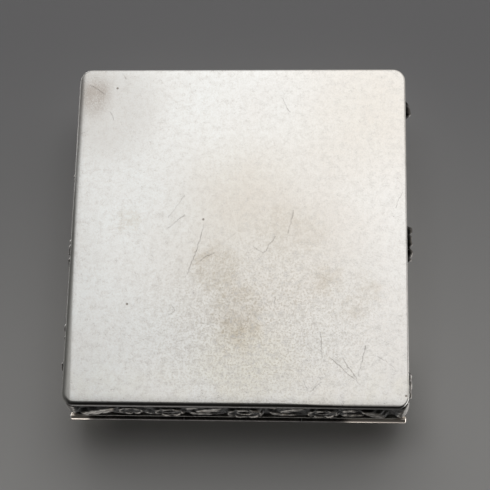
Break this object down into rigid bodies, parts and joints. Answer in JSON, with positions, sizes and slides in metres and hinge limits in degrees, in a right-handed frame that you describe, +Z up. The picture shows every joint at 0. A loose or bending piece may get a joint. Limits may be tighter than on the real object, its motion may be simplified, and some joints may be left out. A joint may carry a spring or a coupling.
{
  "type": "silver box",
  "caption": "Small square hinged table box of sheet silver: plain base tray, walls and lid raised in relief, full-width hinge at the back.",
  "frame": {"origin": "centre of the base's flat underside, which rests on the table", "axes": "+X to the right, +Y to the back, where the hinge is, +Z up from the base to the lid; the thumbpiece is at -Y"},
  "size_m": [0.0933, 0.0981, 0.025],
  "materials": {
    "base_silver": "old worn silver, finely scratched, with faint brown tarnish",
    "wall_silver": "raised silver, worn bright on the high parts and black in the hollows",
    "rim_silver": "rubbed silver wire and hinge tube, dark in the seams",
    "lid_silver": "raised silver, polished on the high parts and dark in the hollows",
    "gilt": "thin worn gilding over silver",
    "pin_steel": "plain hard wire"
  },
  "bodies": {
    "body": {"base_tray": "base_silver", "body_wall": "wall_silver", "body_rim": "rim_silver", "inner_bezel": "gilt", "body_hinge_bearer": "rim_silver", "hinge_knuckle_left": "rim_silver", "hinge_knuckle_right": "rim_silver", "hinge_pin": "pin_steel", "hinge_plug_left": "rim_silver", "hinge_plug_right": "rim_silver"},
    "lid": {"hinge_knuckle_centre": "rim_silver", "lid_hinge_bearer": "rim_silver", "lid_rim": "rim_silver", "lid_wall": "lid_silver", "lid_top": "lid_silver", "thumbpiece": "rim_silver"}
  },
  "joints": [
    {"name": "lid_hinge", "type": "hinge", "parent": "body", "child": "lid", "pos_m": [0, 0.0472, 0.016], "axis": [-1, 0, 0], "range_deg": [0, 100]}
  ]
}
